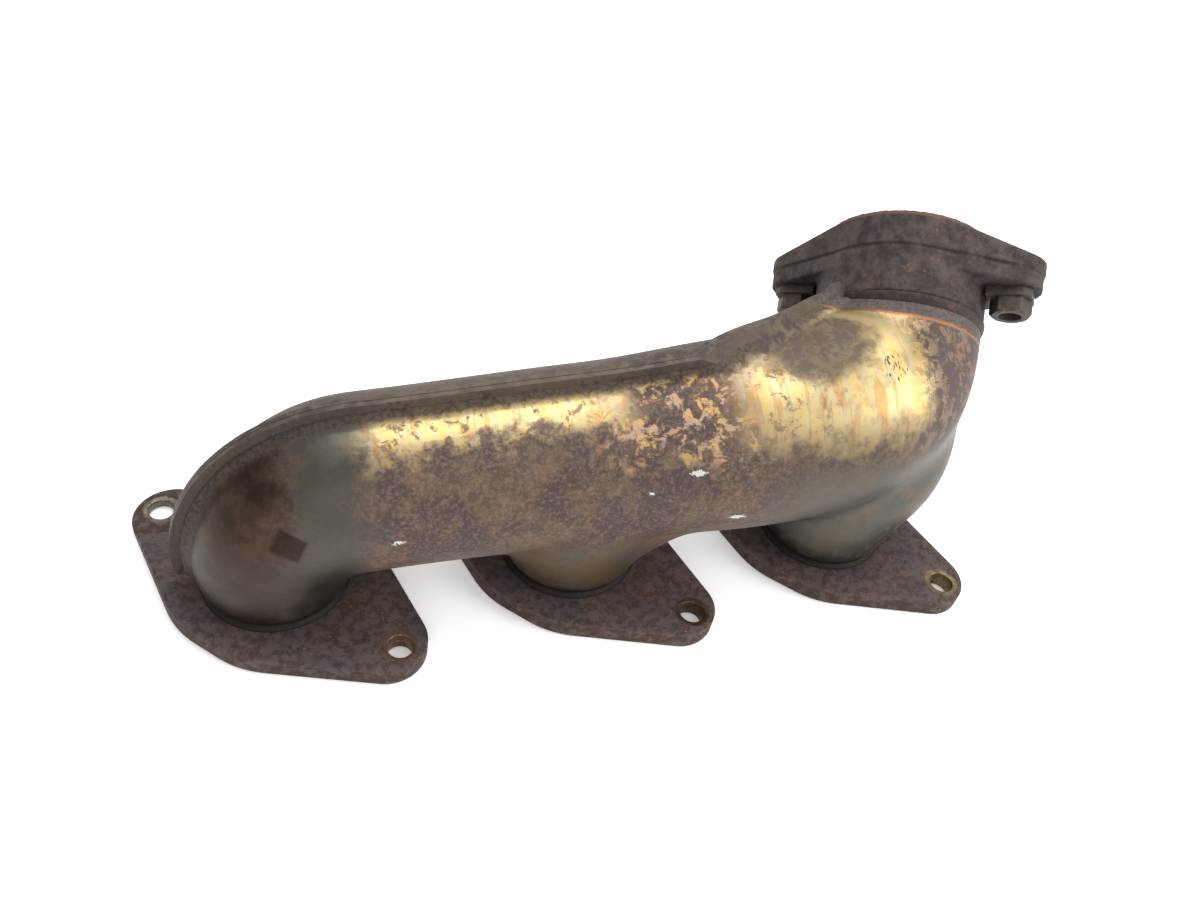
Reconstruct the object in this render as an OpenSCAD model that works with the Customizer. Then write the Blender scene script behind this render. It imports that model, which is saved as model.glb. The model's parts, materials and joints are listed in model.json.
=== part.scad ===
// Air-gap exhaust manifold for one bank of a six-cylinder V engine.
// Three port flanges lie on z = 0, the face of the cylinder head. The middle port is the origin,
// the front port is at -X, the rear port at +X, and the outlet leaves towards +Y, rising.

/* [Ports] */
// Distance between neighbouring ports
port_pitch = 106; // [96:0.5:130]
// Thickness of a port flange
flange_t = 7; // [5:0.5:10]
// Diameter of the circle through the two stud holes of a port flange
stud_pcd = 107; // [100:0.5:130]
// Turn of the stud line from the X axis
stud_angle = -43.5; // [-60:0.5:-30]
// Diameter of a stud hole
stud_hole_d = 8.8; // [8:0.1:11]
// Radius of the round middle of a port flange
flange_mid_r = 34.5; // [32:0.5:38]
// Radius of a flange ear
flange_ear_r = 14; // [10:0.5:16]

/* [Inner pipes] */
// Outer diameter of the pipe in each port
port_pipe_d = 43; // [38:0.5:46]
// Outer diameter of the middle pipe's barrel
tee_barrel_d = 51; // [48:0.5:52]
// Outer diameter of the rear pipe where it is widest
collector_d = 60; // [57:0.5:62]
// Wall of the inner pipes
pipe_t = 1.2; // [1:0.1:2]
// Radial clearance of a slip joint
slip_clear = 0.3; // [0.2:0.05:0.6]

/* [Outer shell] */
// Outer diameter of the shell's bulge above a port flange
shell_port_d = 52; // [50:0.5:58]
// Outer diameter of the shell above the front port
shell_front_d = 59; // [56:0.5:61]
// Outer diameter of the shell above the middle port
shell_mid_d = 61.5; // [59:0.5:70]
// Outer diameter of the shell above the rear port
shell_rear_d = 72; // [70:0.5:78]
// Wall of the outer shell
shell_t = 1.5; // [1:0.1:2]
// Height of the welded lip along the seam
lip_h = 6; // [2:0.5:7]
// Thickness of one lip
lip_t = 1.5; // [1:0.1:2]

/* [Run of the tube] */
// Radius of the first bend, on the centre line
bend_r = 31; // [30.6:0.2:36]
// Height at which the first bend starts
bend_z = 19.5; // [16:0.5:26]
// Rise of the tube above the level
tube_rise = 4.9; // [0:0.1:8]

/* [Outlet] */
// Centre of the outlet flange, from the rear port's centre on the head face
outlet_at = [26.5, 45.8, 94.9];
// Rise of the outlet's axis above the level
outlet_rise = 35; // [25:1:45]
// Turn of the outlet's axis from +Y towards +X
outlet_turn = 20.5; // [10:0.5:30]
// Turn of the outlet's two bolt holes about its axis
outlet_spin = 29; // [0:1:60]
// Distance between the two bolt holes
outlet_bolt_gap = 81; // [78:0.5:96]
// Diameter of a bolt hole in a lug
outlet_hole_d = 9; // [8.8:0.1:11]
// Outer diameter of the outlet neck
neck_d = 63; // [60:0.5:66]
// Diameter of the gas passage in the neck
neck_bore_d = 51; // [48:0.5:52]

/* [Nuts] */
// Width across the flats of an outlet nut
nut_af = 13; // [12:0.5:14]
// Height of an outlet nut
nut_h = 6; // [5:0.5:8]
// Thickness of the plate that keeps a nut from turning
nut_plate_t = 3.5; // [2:0.5:4]
// Thread diameter of the nuts
nut_thread_d = 8; // [8:0.1:8.4]

/* [Hidden] */

cut = 1;              // how far a cut runs past the face it opens
fit_gap = 0.1;        // clearance of parts that are pushed together and welded
sides = 32;           // points round one ring of a swept tube

// Colours
rusty_flange = [0.29, 0.22, 0.20];
cast_iron = [0.27, 0.25, 0.24];
tinted_steel = [0.56, 0.49, 0.33];
bright_pipe = [0.62, 0.60, 0.56];
weld_metal = [0.20, 0.19, 0.18];
wire_mesh = [0.68, 0.68, 0.66];
nut_steel = [0.33, 0.31, 0.30];

// Port flange
flange_mid_shift = 4.9;     // the round middle is two circles this far either side of the port
flange_ear_in = 5.7;        // ear centre to stud centre, towards the port
ear_step_y = 23;            // the far ear is thinner beyond this line
ear_step_t = 3.4;           // depth of that step
pipe_seat_z = 1.5;          // the inner pipes end this far above the head face
flange_bore_r = port_pipe_d / 2 + fit_gap;

// Centre line of the tube: up from the front port, round the first bend, along one straight
// rising line, and round a Bezier curve into the outlet
port_r = port_pipe_d / 2;
line_dir = [cos(tube_rise), 0, sin(tube_rise)];
line_up = [-sin(tube_rise), 0, cos(tube_rise)];
bend_centre = [bend_r - port_pitch, 0, bend_z];
line_start = bend_centre + bend_r * line_up;
function on_line(x) = line_start + line_dir * (x - line_start[0]) / line_dir[0];

outlet_pos = [port_pitch, 0, 0] + outlet_at;
outlet_dir = [
    cos(outlet_rise) * sin(outlet_turn),
    cos(outlet_rise) * cos(outlet_turn),
    sin(outlet_rise)
];
neck_len = 18.5;            // from the flange's parting plane to the end of the shell
collar_len = 8;             // straight end of the shell, below the neck
neck_end = outlet_pos - outlet_dir * neck_len;
curve_start = on_line(port_pitch - 46);
curve_end = neck_end - outlet_dir * collar_len;
curve_a = curve_start + line_dir * 33;
curve_b = curve_end - outlet_dir * 20;
function bezier(t) =
    pow(1 - t, 3) * curve_start + 3 * pow(1 - t, 2) * t * curve_a
    + 3 * (1 - t) * t * t * curve_b + pow(t, 3) * curve_end;
function bezier_dir(t) = unit(
    pow(1 - t, 2) * (curve_a - curve_start) + 2 * (1 - t) * t * (curve_b - curve_a)
    + t * t * (curve_end - curve_b));
function unit(v) = v / norm(v);
function mix(a, b, t) = a + (b - a) * t;
function ease(t) = t * t * (3 - 2 * t);

// A ring is [centre, direction of travel, radius]
leg_foot_z = flange_t;
shell_port_r = shell_port_d / 2;
foot_gap = 0.5;             // between the shell's foot and the inner pipe
foot_r = port_pipe_d / 2 + foot_gap + shell_t;
shell_front_r = shell_front_d / 2;
shell_mid_r = shell_mid_d / 2;
shell_rear_r = shell_rear_d / 2;
shell_end_r = neck_d / 2 - 0.8;
bulge_z = 16.5;             // the shell has its port size from here up
// The foot as [height above the flange, share of the way from its own radius to the port size]
foot_levels = [[0, 0], [3, 0], [4.5, 0.45], [6.5, 0.8], [bulge_z - leg_foot_z, 1]];
bend_steps = 7;
curve_steps = 12;
curve_widest = 0.45;        // where on the outlet curve the shell starts to narrow
bend_sweep = 90 - tube_rise;

function bend_point(a) = bend_centre + bend_r * [-cos(a), 0, sin(a)];
function shell_curve_r(t) = t < curve_widest
    ? mix(shell_rear_r - 2, shell_rear_r, ease(t / curve_widest))
    : mix(shell_rear_r, shell_end_r, ease((t - curve_widest) / (1 - curve_widest)));

function shell_rings(grow) = concat(
    [for (level = foot_levels)
        [[-port_pitch, 0, leg_foot_z + level[0]], [0, 0, 1],
         mix(foot_r, shell_port_r, level[1]) + grow]],
    [for (i = [0:bend_steps])
        let (a = bend_sweep * i / bend_steps)
        [bend_point(a), [sin(a), 0, cos(a)],
         mix(shell_port_r + 1, shell_front_r, ease(i / bend_steps)) + grow]],
    [for (x = [-port_pitch / 2, -port_pitch / 4])
        [on_line(x), line_dir, mix(shell_mid_r, shell_front_r, -2 * x / port_pitch) + grow]],
    [[on_line(0), line_dir, shell_mid_r + grow]],
    [[on_line(port_pitch * 0.3), line_dir, mix(shell_mid_r, shell_rear_r - 2, 0.5) + grow]],
    [for (i = [0:curve_steps])
        let (t = i / curve_steps)
        [bezier(t), bezier_dir(t), shell_curve_r(t) + grow]],
    [[neck_end + outlet_dir * cut, outlet_dir, shell_end_r + grow]]
);

// Points of one ring, and a closed skin over a list of rings
function ring_points(ring) =
    let (side = unit(cross(ring[1], [0, 1, 0])), top = cross(ring[1], side))
    [for (i = [0:sides - 1])
        let (a = 360 * i / sides)
        ring[0] + ring[2] * (cos(a) * side + sin(a) * top)];

module sweep(rings) {
    last = len(rings) - 1;
    polyhedron(
        points = [for (ring = rings) each ring_points(ring)],
        faces = concat(
            [[for (i = [0:sides - 1]) i]],
            [for (k = [0:last - 1], i = [0:sides - 1])
                let (j = (i + 1) % sides)
                [k * sides + i, (k + 1) * sides + i, (k + 1) * sides + j, k * sides + j]],
            [[for (i = [sides - 1:-1:0]) last * sides + i]]
        ),
        convexity = 6
    );
}

// The same with a bore, in one piece
module hollow_sweep(rings, wall) {
    last = len(rings) - 1;
    skin = (last + 1) * sides;
    polyhedron(
        points = concat(
            [for (ring = rings) each ring_points(ring)],
            [for (ring = rings) each ring_points([ring[0], ring[1], ring[2] - wall])]
        ),
        faces = [for (i = [0:sides - 1])
            let (j = (i + 1) % sides)
            each concat(
                [for (k = [0:last - 1])
                    [k * sides + i, (k + 1) * sides + i, (k + 1) * sides + j, k * sides + j]],
                [for (k = [0:last - 1])
                    [skin + k * sides + j, skin + (k + 1) * sides + j,
                     skin + (k + 1) * sides + i, skin + k * sides + i]],
                [[i, j, skin + j, skin + i]],
                [[last * sides + j, last * sides + i,
                  skin + last * sides + i, skin + last * sides + j]]
            )],
        convexity = 6
    );
}

// A list of rings with its first and last one moved out past the ends, so that a bore comes out open
function run_out(rings, extra) =
    let (last = len(rings) - 1)
    [for (i = [0:last])
        let (ring = rings[i], way = i == 0 ? -extra : i == last ? extra : 0)
        [ring[0] + ring[1] * way, ring[1], ring[2]]];

// A leg of the shell, from its flange up into the tube, as stacked ovals. Each is its height, how
// much wider it is than the port along X and along Y, and how far its middle moves along X and Y.
foot = [for (level = foot_levels)
    let (wider = (1 - level[1]) * (foot_r - shell_port_r))
    [leg_foot_z + level[0], wider, wider, 0, 0]];
middle_leg = concat(foot, [
    [20, 3, 0.5, 0, 0],
    [25, 8.5, 1, 0.5, 0],
    [28, 13.5, 1.2, 1, 0],
    [31, 20, 1.4, 2, 0],
    [36, 28, 1.6, 3, 0],
    [44, 34, 2, 4, 0]
]);
rear_leg = concat(foot, [
    [22, 1.6, 1.2, 0, 0],
    [31, 4.6, 2.5, 1.5, 0],
    [40, 7, 4.5, 3.5, 1],
    [48, 7.5, 5.5, 6, 3],
    [57, 7, 5, 9, 7],
    [66, 5, 3, 12, 13],
    [75, 0, -2, 14, 20],
    [84, -8, -10, 14, 26]
]);
slice = 0.05;

module oval(level, r) {
    translate([level[3], level[4], level[0]])
        linear_extrude(slice)
            scale([level[1] + r, level[2] + r])
                circle(1, $fn = sides);
}

module leg(levels, x, r) {
    translate([x, 0, 0])
        for (i = [0:len(levels) - 2])
            hull() {
                oval(levels[i], r);
                oval(levels[i + 1], r);
            }
}

module shell_form(grow) {
    sweep(shell_rings(grow));
    leg(middle_leg, 0, shell_port_r + grow);
    leg(rear_leg, port_pitch, shell_port_r + grow);
}

module shell_hollow() {
    sweep(run_out(shell_rings(-shell_t), cut));
    for (x = [0, port_pitch])
        translate([x, 0, leg_foot_z - cut])
            cylinder(r = foot_r - shell_t, h = 2 * cut, $fn = sides);
    leg(middle_leg, 0, shell_port_r - shell_t);
    leg(rear_leg, port_pitch, shell_port_r - shell_t);
}

// Everything behind the seam, grown by some amount. The seam lies on y = 0 along the ports and
// turns with the tube at the outlet, where it crosses the neck on its upper left side.
far = 800;
seam_round = 50;            // radius of the seam's turn
seam_face = unit([0.31, -0.63, 0.69]);
seam_edge = unit(cross([0, 1, 0], seam_face));
seam_down = -unit([seam_face[0], 0, seam_face[2]]);
seam_back = unit([0, 1, 0] - seam_face[1] * seam_face);
seam_corner = let (flat = [seam_face[0], 0, seam_face[2]])
    flat * (seam_face * neck_end - seam_round * (1 + seam_face[1])) / (flat * flat)
    + [0, seam_round, 0];

module seam_rod(reach, grow) {
    translate(seam_corner + reach)
        multmatrix([
            [seam_edge[0], seam_down[0], 0, 0],
            [seam_edge[1], seam_down[1], 1, 0],
            [seam_edge[2], seam_down[2], 0, 0]
        ])
            rotate([0, 90, 0])
                cylinder(r = seam_round + grow, h = far, center = true, $fn = 48);
}

module behind_seam(grow) {
    hull() {
        seam_rod([0, 0, 0], grow);
        seam_rod(seam_down * far, grow);
        seam_rod(seam_back * far, grow);
    }
}

// Everything past a plane across the outlet's axis, some way into the neck
module past_neck_end(way) {
    translate(neck_end + outlet_dir * way)
        rotate([-(90 - outlet_rise), 0, -outlet_turn])
            translate([-far / 2, -far / 2, 0])
                cube(far);
}

// The lips stop short of the welds at the flanges and at the neck
lip_foot_z = 13;
module lip_ends() {
    translate([-far / 2, -far / 2, 0])
        cube([far, far, lip_foot_z]);
    translate(neck_end - outlet_dir * collar_len / 2)
        rotate([-(90 - outlet_rise), 0, -outlet_turn])
            cylinder(r = neck_d, h = neck_len, $fn = sides);
}

module outer_shell_front() {
    color(tinted_steel)
        difference() {
            union() {
                difference() {
                    shell_form(0);
                    behind_seam(0);
                }
                intersection() {
                    difference() {
                        shell_form(lip_h);
                        behind_seam(0);
                        lip_ends();
                    }
                    behind_seam(lip_t);
                }
            }
            shell_hollow();
            past_neck_end(0);
        }
}

module outer_shell_back() {
    color(tinted_steel)
        difference() {
            union() {
                intersection() {
                    shell_form(0);
                    behind_seam(0);
                }
                difference() {
                    intersection() {
                        shell_form(lip_h);
                        behind_seam(0);
                    }
                    behind_seam(-lip_t);
                    lip_ends();
                }
            }
            shell_hollow();
            past_neck_end(0);
        }
}

// Four points of the outline that joins a circle at the origin to a smaller one at [d, 0]
function tangents(d, big, small) =
    let (a = acos((big - small) / d))
    [[big * cos(a), big * sin(a)], [d + small * cos(a), small * sin(a)],
     [d + small * cos(a), -small * sin(a)], [big * cos(a), -big * sin(a)]];

module port_flange(x) {
    ear_at = stud_pcd / 2 - flange_ear_in;
    color(rusty_flange)
        translate([x, 0, 0])
            difference() {
                rotate([0, 0, stud_angle]) {
                    translate([-flange_mid_shift, -flange_mid_r, 0])
                        cube([2 * flange_mid_shift, 2 * flange_mid_r, flange_t]);
                    for (turn = [0, 180])
                        rotate([0, 0, turn]) {
                            translate([flange_mid_shift, 0, 0])
                                cylinder(r = flange_mid_r, h = flange_t, $fn = 96);
                            translate([flange_mid_shift, 0, 0])
                                linear_extrude(flange_t)
                                    polygon(tangents(ear_at - flange_mid_shift,
                                                     flange_mid_r, flange_ear_r));
                            translate([ear_at, 0, 0])
                                cylinder(r = flange_ear_r, h = flange_t, $fn = 64);
                        }
                }
                translate([0, 0, -cut])
                    cylinder(r = flange_bore_r, h = flange_t + 2 * cut, $fn = 64);
                rotate([0, 0, stud_angle])
                    for (side = [-1, 1])
                        translate([side * stud_pcd / 2, 0, -cut])
                            cylinder(d = stud_hole_d, h = flange_t + 2 * cut, $fn = 48);
                translate([-25 - stud_pcd, ear_step_y, flange_t - ear_step_t])
                    cube([stud_pcd, stud_pcd, flange_t]);
            }
}

module front_port_flange() { port_flange(-port_pitch); }
module middle_port_flange() { port_flange(0); }
module rear_port_flange() { port_flange(port_pitch); }

// Puts its children at x on the straight line of the tube, their Z along it
module along_line(x) {
    translate(on_line(x))
        rotate([0, 90 - tube_rise, 0])
            children();
}
function run(x0, x1) = (x1 - x0) / line_dir[0];

// Inner pipes: the front pipe slides in the middle one, and the middle one in the rear one
slide_gap = 4;              // room for the hot pipe to grow into
socket_len = 16;
tee_start = -46;
tee_end = 44;
tee_cone = 6;
tee_r = tee_barrel_d / 2;
front_pipe_end = tee_start + socket_len - slide_gap;
tee_socket_r = port_r + slip_clear + pipe_t;

pipe_rings = concat(
    [[[-port_pitch, 0, pipe_seat_z], [0, 0, 1], port_r]],
    [for (i = [0:bend_steps])
        let (a = bend_sweep * i / bend_steps)
        [bend_point(a), [sin(a), 0, cos(a)], port_r]],
    [[on_line(front_pipe_end), line_dir, port_r]]
);

module front_inner_pipe() {
    color(bright_pipe)
        hollow_sweep(pipe_rings, pipe_t);
}

// Outline of the middle pipe's barrel from its axis out, less some wall, as [radius, distance]
function tee_outline(less, extra) =
    let (cone = run(0, socket_len), barrel = cone + run(0, tee_cone), end = run(tee_start, tee_end))
    [[0, -extra], [tee_socket_r - less, -extra], [tee_socket_r - less, cone],
     [tee_r - less, barrel], [tee_r - less, end + extra], [0, end + extra]];

module middle_inner_pipe() {
    branch_h = on_line(0)[2] - pipe_seat_z;
    color(bright_pipe)
        difference() {
            union() {
                along_line(tee_start)
                    rotate_extrude($fn = 64)
                        polygon(tee_outline(0, 0));
                translate([0, 0, pipe_seat_z])
                    cylinder(r = port_r, h = branch_h, $fn = 64);
            }
            along_line(tee_start)
                rotate_extrude($fn = 64)
                    polygon(tee_outline(pipe_t, cut));
            translate([0, 0, pipe_seat_z - cut])
                cylinder(r = port_r - pipe_t, h = branch_h + cut, $fn = 64);
        }
}

collector_start = tee_end - 10;
collector_r = collector_d / 2;
collector_socket_r = tee_r + slip_clear + pipe_t;
collector_end_r = neck_bore_d / 2 - slip_clear;
collector_in_neck = 10;
collector_widest = 0.4;
collector_straight = 0.85;  // from here the pipe has its end size
function collector_curve_r(t) = t < collector_widest
    ? mix(collector_socket_r, collector_r, ease(t / collector_widest))
    : mix(collector_r, collector_end_r,
          ease(min(1, (t - collector_widest) / (collector_straight - collector_widest))));

function collector_rings(grow) = concat(
    [[on_line(collector_start) - line_dir * cut, line_dir, collector_socket_r + grow]],
    [for (i = [0:curve_steps])
        let (t = i / curve_steps)
        [bezier(t), bezier_dir(t), collector_curve_r(t) + grow]],
    [[neck_end + outlet_dir * (collector_in_neck + cut), outlet_dir, collector_end_r + grow]]
);
rear_pipe_leg = [
    [pipe_seat_z, 0, 0, 0, 0],
    [bulge_z, 0, 0, 0, 0],
    [22, 0.8, 0.8, 0, 0],
    [31, 2.6, 1.8, 1.5, 0],
    [36, 3, 2, 3, 1],
    [42, 3, 1.5, 4, 2],
    [49, 0, -1, 4.5, 5],
    [58, -8, -9, 3, 12]
];

module rear_inner_pipe() {
    color(bright_pipe)
        difference() {
            union() {
                sweep(collector_rings(0));
                leg(rear_pipe_leg, port_pitch, port_r);
            }
            sweep(run_out(collector_rings(-pipe_t), cut));
            leg(rear_pipe_leg, port_pitch, port_r - pipe_t);
            translate([port_pitch, 0, pipe_seat_z - cut])
                cylinder(r = port_r - pipe_t, h = bulge_z, $fn = sides);
            past_neck_end(collector_in_neck);
            along_line(collector_start)
                translate([-far / 2, -far / 2, -far])
                    cube(far);
        }
}

// Bead that joins an inner pipe to its flange, at the head face
module pipe_weld(x) {
    color(weld_metal)
        translate([x, 0, 0])
            rotate_extrude($fn = 64)
                polygon([
                    [flange_bore_r, 0.3], [flange_bore_r, pipe_seat_z],
                    [port_r - pipe_t, pipe_seat_z], [port_r - pipe_t + 0.4, 0.8]
                ]);
}

module front_pipe_weld() { pipe_weld(-port_pitch); }
module middle_pipe_weld() { pipe_weld(0); }
module rear_pipe_weld() { pipe_weld(port_pitch); }

// Wire-mesh rings that centre the inner pipes in the shell
ring_w = 8;
front_ring_at = -60;
middle_ring_at = 25;
function in_shell(r) = (r - shell_t) * cos(180 / sides) - fit_gap;

module support_ring(x, inner_r, outer_r) {
    color(wire_mesh)
        along_line(x)
            difference() {
                cylinder(r = outer_r, h = ring_w, $fn = 64);
                translate([0, 0, -cut])
                    cylinder(r = inner_r, h = ring_w + 2 * cut, $fn = 64);
            }
}

module front_support_ring() {
    support_ring(front_ring_at, port_r + fit_gap, in_shell(shell_front_r));
}

module middle_support_ring() {
    support_ring(middle_ring_at, tee_r + fit_gap, in_shell(shell_mid_r));
}

// Fillet bead between the shell and a port flange
bead = 2.4;
module shell_weld(x) {
    color(weld_metal)
        translate([x, 0, flange_t])
            rotate_extrude($fn = 64)
                polygon([
                    [foot_r, 0], [foot_r + bead, 0], [foot_r + bead * 0.75, bead * 0.4],
                    [foot_r + bead * 0.3, bead * 0.75], [foot_r, bead * 0.8]
                ]);
}

module front_shell_weld() { shell_weld(-port_pitch); }
module middle_shell_weld() { shell_weld(0); }
module rear_shell_weld() { shell_weld(port_pitch); }

// Outlet. Its own frame has Z along the gas flow, X through the right bolt hole, and z = 0 on
// the casting's parting plane.
module at_outlet() {
    translate(outlet_pos)
        rotate([-(90 - outlet_rise), 0, -outlet_turn])
            rotate([0, 0, -outlet_spin])
                children();
}

neck_r = neck_d / 2;
neck_bore_r = neck_bore_d / 2;
face_z = 11.5;              // the outlet's joint face
rim_h = 2;
rim_r = neck_r - 1.5;
lug_r = 11;
lug_top = 5;
lug_under = 6.5;
lug_at = outlet_bolt_gap / 2;
spigot_len = collar_len - 1;
spigot_r = in_shell(shell_end_r);

module outlet_flange() {
    color(cast_iron)
        at_outlet()
            difference() {
                union() {
                    translate([0, 0, -neck_len])
                        cylinder(r = neck_r, h = neck_len + face_z, $fn = 96);
                    translate([0, 0, -neck_len - spigot_len])
                        cylinder(r = spigot_r, h = spigot_len + cut, $fn = 96);
                    translate([0, 0, face_z - cut])
                        cylinder(r = rim_r, h = rim_h + cut, $fn = 96);
                    hull() {
                        cylinder(r = neck_r, h = face_z, $fn = 64);
                        for (side = [-1, 1])
                            translate([side * lug_at, 0, 0])
                                cylinder(r = lug_r, h = lug_top, $fn = 32);
                    }
                    translate([0, 0, -lug_under])
                        linear_extrude(lug_under)
                            for (turn = [0, 180])
                                rotate(turn) {
                                    polygon(tangents(lug_at, neck_r - 0.6, lug_r - 0.6));
                                    translate([lug_at, 0])
                                        circle(lug_r - 0.6, $fn = 64);
                                }
                }
                translate([0, 0, -neck_len - spigot_len - cut])
                    cylinder(r = neck_bore_r, h = 2 * neck_len + face_z + rim_h, $fn = 96);
                translate([0, 0, face_z + rim_h - 2])
                    cylinder(r1 = neck_bore_r, r2 = neck_bore_r + 3, h = 3, $fn = 96);
                for (side = [-1, 1])
                    translate([side * lug_at, 0, -lug_under - cut])
                        cylinder(d = outlet_hole_d, h = lug_under + lug_top + 3 * cut, $fn = 48);
            }
}

module outlet_shell_weld() {
    color(weld_metal)
        at_outlet()
            translate([0, 0, -neck_len])
                rotate_extrude($fn = 96)
                    polygon([
                        [shell_end_r, 0], [neck_r + 0.6, 0], [neck_r + 0.5, -1.4],
                        [shell_end_r + 0.5, -collar_len / 2 + 0.2], [shell_end_r, -collar_len / 2]
                    ]);
}

plate_w = 15;
plate_gap = 0.4;            // between the plate's straight edge and the neck
plate_hole_d = outlet_hole_d + 0.8;
module nut_plate(turn) {
    reach = nut_af / 2 + 1;     // how far the plate goes past the bolt's centre
    color(nut_steel)
        at_outlet()
            rotate([0, 0, turn])
                translate([0, 0, -lug_under - nut_plate_t])
                    difference() {
                        linear_extrude(nut_plate_t)
                            polygon([
                                [neck_r + plate_gap, -plate_w / 2],
                                [lug_at + reach - 3, -plate_w / 2],
                                [lug_at + reach, -plate_w / 2 + 3],
                                [lug_at + reach, plate_w / 2 - 3],
                                [lug_at + reach - 3, plate_w / 2],
                                [neck_r + plate_gap, plate_w / 2]
                            ]);
                        translate([lug_at, 0, -cut])
                            cylinder(d = plate_hole_d, h = nut_plate_t + 2 * cut, $fn = 48);
                    }
}

module left_nut_plate() { nut_plate(180); }
module right_nut_plate() { nut_plate(0); }

module outlet_nut(turn) {
    corner = nut_af / 2 / cos(30);
    chamfer = 1.1;
    color(nut_steel)
        at_outlet()
            rotate([0, 0, turn])
                translate([lug_at, 0, -lug_under - nut_plate_t - nut_h])
                    difference() {
                        intersection() {
                            cylinder(r = corner, h = nut_h, $fn = 6);
                            rotate_extrude($fn = 64)
                                polygon([
                                    [0, 0], [corner - chamfer, 0], [corner + 0.1, chamfer],
                                    [corner + 0.1, nut_h], [0, nut_h]
                                ]);
                        }
                        translate([0, 0, -cut])
                            cylinder(d = nut_thread_d, h = nut_h + 2 * cut, $fn = 48);
                    }
}

module left_outlet_nut() { outlet_nut(180); }
module right_outlet_nut() { outlet_nut(0); }

front_port_flange();
middle_port_flange();
rear_port_flange();
front_inner_pipe();
middle_inner_pipe();
rear_inner_pipe();
front_pipe_weld();
middle_pipe_weld();
rear_pipe_weld();
front_support_ring();
middle_support_ring();
outer_shell_front();
outer_shell_back();
front_shell_weld();
middle_shell_weld();
rear_shell_weld();
outlet_flange();
outlet_shell_weld();
left_nut_plate();
right_nut_plate();
left_outlet_nut();
right_outlet_nut();
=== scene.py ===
"""An air-gap exhaust manifold: port flanges, a seamed double-walled tube and a cast outlet."""
import json
import math

import bmesh
import bpy
from mathutils import Matrix, Vector

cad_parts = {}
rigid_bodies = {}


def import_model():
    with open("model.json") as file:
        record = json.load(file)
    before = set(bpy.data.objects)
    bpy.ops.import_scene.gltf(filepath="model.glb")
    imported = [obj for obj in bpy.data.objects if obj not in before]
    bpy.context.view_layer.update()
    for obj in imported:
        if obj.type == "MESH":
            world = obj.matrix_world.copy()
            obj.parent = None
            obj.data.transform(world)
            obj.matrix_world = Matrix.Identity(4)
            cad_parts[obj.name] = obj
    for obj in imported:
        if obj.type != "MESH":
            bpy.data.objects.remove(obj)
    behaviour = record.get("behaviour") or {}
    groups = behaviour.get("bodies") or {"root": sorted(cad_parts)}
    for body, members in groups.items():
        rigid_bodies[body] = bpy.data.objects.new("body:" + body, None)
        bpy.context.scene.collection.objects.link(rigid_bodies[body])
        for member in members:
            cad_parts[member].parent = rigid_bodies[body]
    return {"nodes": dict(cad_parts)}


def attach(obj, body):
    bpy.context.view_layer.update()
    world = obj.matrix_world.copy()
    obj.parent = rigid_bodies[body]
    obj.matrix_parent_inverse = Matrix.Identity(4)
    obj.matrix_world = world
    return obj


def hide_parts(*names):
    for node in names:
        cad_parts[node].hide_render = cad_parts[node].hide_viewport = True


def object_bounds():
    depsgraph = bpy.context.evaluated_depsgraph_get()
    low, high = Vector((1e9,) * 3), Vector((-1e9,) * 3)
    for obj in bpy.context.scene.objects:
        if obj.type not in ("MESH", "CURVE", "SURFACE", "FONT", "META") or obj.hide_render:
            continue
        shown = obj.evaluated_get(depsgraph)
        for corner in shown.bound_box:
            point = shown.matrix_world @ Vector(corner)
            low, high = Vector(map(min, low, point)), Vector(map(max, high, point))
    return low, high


for start_object in list(bpy.data.objects):
    bpy.data.objects.remove(start_object)
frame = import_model()
cad_low, cad_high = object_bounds()
cad = frame["nodes"]

MM = 0.001
Y_AXIS = Vector((0, 1, 0))

# The route of the tube, in millimetres, as the CAD has it
PITCH = 106
RISE = math.radians(4.9)
BEND_R, BEND_Z = 31, 19.5
LINE = Vector((math.cos(RISE), 0, math.sin(RISE)))
BEND_CENTRE = Vector((BEND_R - PITCH, 0, BEND_Z))
LINE_START = BEND_CENTRE + BEND_R * Vector((-math.sin(RISE), 0, math.cos(RISE)))
OUT_RISE, OUT_TURN, OUT_SPIN = math.radians(35), math.radians(20.5), math.radians(29)
OUT_DIR = Vector((
    math.cos(OUT_RISE) * math.sin(OUT_TURN),
    math.cos(OUT_RISE) * math.cos(OUT_TURN),
    math.sin(OUT_RISE),
))
OUT_POS = Vector((PITCH + 26.5, 45.8, 94.9))
NECK_LEN, COLLAR_LEN = 18.5, 8
NECK_END = OUT_POS - OUT_DIR * NECK_LEN
FLANGE_T, BULGE_Z, LIP_FOOT_Z = 7, 16.5, 13
PORT_R, FRONT_R, MID_R, REAR_R, END_R = 26, 29.5, 30.75, 36, 30.7
SHELL_T = 1.5
SEAM_FACE = Vector((0.31, -0.63, 0.69)).normalized()
SEAM_ROUND = 50
MIDDLE_LEG = (
    (7, 0, 0, 0, 0), (16.5, 0, 0, 0, 0), (20, 3, 0.5, 0, 0), (25, 8.5, 1, 0.5, 0),
    (28, 13.5, 1.2, 1, 0), (31, 20, 1.4, 2, 0), (36, 28, 1.6, 3, 0), (44, 34, 2, 4, 0),
)
REAR_LEG = (
    (7, 0, 0, 0, 0), (16.5, 0, 0, 0, 0), (22, 1.6, 1.2, 0, 0), (31, 4.6, 2.5, 1.5, 0),
    (40, 7, 4.5, 3.5, 1), (48, 7.5, 5.5, 6, 3), (57, 7, 5, 9, 7), (66, 5, 3, 12, 13),
    (75, 0, -2, 14, 20), (84, -8, -10, 14, 26),
)
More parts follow.
